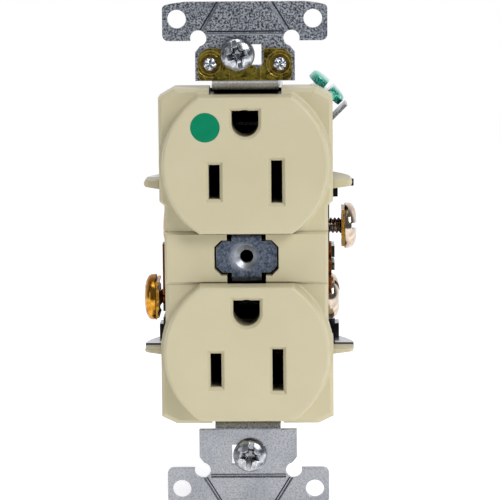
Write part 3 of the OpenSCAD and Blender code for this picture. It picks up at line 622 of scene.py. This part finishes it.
def finish_screw(node, head, rod, base, axis):
    """Joins head and rod into one piece that stands for the CAD node and rides on its body."""
    screw = merge(node + "_turned", [head, rod])
    place_along(screw, base, axis)
    paint(screw, LOOKS[node])
    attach(screw, node)
    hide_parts(node)


def terminal_screw(node, side, spin):
    """Domed binding-head screw with a slot and a shallow cross, lying along X."""
    low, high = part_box(node)
    centre = (low + high) / 2
    radius = (high.z - low.z) / 2
    rise = (high.x - low.x) - TERMINAL_SHANK
    outer = high.x if side > 0 else low.x
    base = Vector((outer - side * rise, centre.y, centre.z))
    head = lathe("head", dome(radius, TERMINAL_RIM, rise, HEAD_FULLNESS), 72)
    slot_cut(head, radius, rise, *TERMINAL_SLOT, spin)
    cross_recess(head, rise, *TERMINAL_CROSS, spin + 90)
    soften(head, 0.1 * MM)
    rod = thread("rod", SHANK_R, THREAD_DEPTH, -TERMINAL_SHANK, LAP)
    finish_screw(node, head, rod, base, Vector((side, 0, 0)))


def mounting_screw(node, spin):
    """Captive oval-head screw along Y with a combination recess."""
    low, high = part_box(node)
    centre = (low + high) / 2
    radius = (high.x - low.x) / 2
    base = Vector((centre.x, low.y + MOUNT_RISE, centre.z))
    length = high.y - base.y
    neck = NECK_END - base.y
    head = lathe("head", dome(radius, MOUNT_RIM, MOUNT_RISE), 80)
    slot_cut(head, radius, MOUNT_RISE, *MOUNT_SLOT, spin)
    cross_recess(head, MOUNT_RISE, *MOUNT_CROSS, spin)
    soften(head, 0.08 * MM)
    rod = thread("rod", MOUNT_SHANK_R, MOUNT_THREAD, -length, -neck)
    collar = lathe("collar", [(0, -neck - LAP), (MOUNT_NECK_R, -neck - LAP), (MOUNT_NECK_R, LAP),
                              (0, LAP)], 48)
    smooth(collar)
    rod = merge("rod", [rod, collar])
    finish_screw(node, head, rod, base, Vector((0, -1, 0)))


def ground_screw():
    """Green slotted pan-head screw, leaning out of the upper right corner."""
    node = "ground_screw"
    joint = next(j for j in frame["joints"] if j["name"] == "ground_screw_turn")
    axis = Vector(joint["axis"])
    head = lathe("head", dome(EARTH_RADIUS, EARTH_RIM, EARTH_HEAD, HEAD_FULLNESS), 72)
    slot_cut(head, EARTH_RADIUS, EARTH_HEAD, *EARTH_SLOT, 90)
    soften(head, 0.16 * MM, 30, 3)
    rod = thread("rod", SHANK_R, THREAD_DEPTH, -EARTH_SHANK, LAP)
    finish_screw(node, head, rod, Vector(joint["pos_m"]) + axis * EARTH_SEAT, axis)


terminal_screw("hot_upper_screw", -1, 60)
terminal_screw("hot_lower_screw", -1, 8)
terminal_screw("neutral_upper_screw", 1, 84)
terminal_screw("neutral_lower_screw", 1, 40)
mounting_screw("upper_mounting_screw", 15)
mounting_screw("lower_mounting_screw", -8)
ground_screw()


# ---------------------------------------------------------------- stage

def pale_floor():
    """A pale floor under the outlet. Beyond its edges the camera sees the plain white surround."""
    ground = cad_box[0][2]
    left, right, front, back = -0.7, 0.7, -0.3, 0.7
    mesh = bpy.data.meshes.new("floor")
    corners = [(left, front), (right, front), (right, back), (left, back)]
    mesh.from_pydata([(x, y, ground) for x, y in corners], [], [(0, 1, 2, 3)])
    floor = bpy.data.objects.new("floor", mesh)
    SCENE.collection.objects.link(floor)
    s = Surface("pale_floor", roughness=0.7)
    s.set(Base_Color=s.mix(s.ramp(s.noise(120, 3), 0.3, 0.7), (0.86, 0.86, 0.86), (0.9, 0.9, 0.9)))
    s.set(Emission_Color=(1, 1, 1, 1), Emission_Strength=0.45)
    s.bump(s.noise(3, 2), 0.02)
    paint(floor, s.material)


def lamp(name, place, size, watts):
    """A rectangular white lamp that points at the origin."""
    data = bpy.data.lights.new(name, "AREA")
    data.shape = "RECTANGLE"
    data.size, data.size_y = size
    data.energy = watts
    obj = bpy.data.objects.new(name, data)
    SCENE.collection.objects.link(obj)
    obj.location = place
    obj.rotation_euler = (-Vector(place)).to_track_quat("-Z", "Y").to_euler()


def surround():
    """White to the camera; to everything else a studio that is bright behind and dim in front."""
    world = bpy.data.worlds.new("studio")
    SCENE.world = world
    world.use_nodes = True
    tree = world.node_tree
    shade = tree.nodes["Background"]

    def node(kind, **settings):
        made = tree.nodes.new(kind)
        for key, value in settings.items():
            setattr(made, key, value)
        return made

    way = node("ShaderNodeSeparateXYZ")
    tree.links.new(node("ShaderNodeTexCoord").outputs["Generated"], way.inputs[0])
    behind = node("ShaderNodeMapRange", interpolation_type="SMOOTHSTEP")
    for socket, value in zip(behind.inputs[1:5], (-0.3, 0.6, 0.0, 1.0)):
        socket.default_value = value
    tree.links.new(way.outputs["Y"], behind.inputs[0])
    room = node("ShaderNodeMix", data_type="RGBA")
    room.inputs[6].default_value = (0.13, 0.14, 0.16, 1)
    room.inputs[7].default_value = (1.0, 1.0, 1.04, 1)
    tree.links.new(behind.outputs[0], room.inputs[0])
    seen = node("ShaderNodeMix", data_type="RGBA")
    seen.inputs[7].default_value = (1, 1, 1, 1)
    tree.links.new(room.outputs[2], seen.inputs[6])
    tree.links.new(node("ShaderNodeLightPath").outputs["Is Camera Ray"], seen.inputs[0])
    tree.links.new(seen.outputs[2], shade.inputs["Color"])


def light_stage():
    surround()
    lamp("key", (0.55, -0.7, 0.55), (0.4, 0.4), 6.0)
    lamp("top", (-0.1, -0.25, 0.9), (0.5, 0.4), 2.0)
    lamp("fill", (-0.8, -0.7, 0.1), (0.5, 0.7), 1.0)
    SCENE.view_settings.view_transform = "Standard"
    SCENE.view_settings.look = "None"


def photo_camera():
    """Looks at the outlet from its front, a little above and to its right, from 0.55 m."""
    azimuth, elevation, roll = (math.radians(a) for a in (1.243, 8.458, -0.466))
    away, aim = 0.55, Vector((0.00068, 0.0002, 0.0012))
    back = Vector((math.sin(azimuth) * math.cos(elevation), -math.cos(azimuth) * math.cos(elevation),
                   math.sin(elevation)))
    data = bpy.data.cameras.new("camera")
    data.sensor_width = 36
    data.lens = 192
    camera = bpy.data.objects.new("camera", data)
    SCENE.collection.objects.link(camera)
    right = Vector((0, 0, 1)).cross(back).normalized()
    up = back.cross(right)
    turn = Matrix.Rotation(roll, 4, "Z")
    camera.matrix_world = (Matrix.Translation(aim + back * away)
                           @ Matrix((right, up, back)).transposed().to_4x4() @ turn)
    SCENE.camera = camera


pale_floor()
light_stage()
photo_camera()
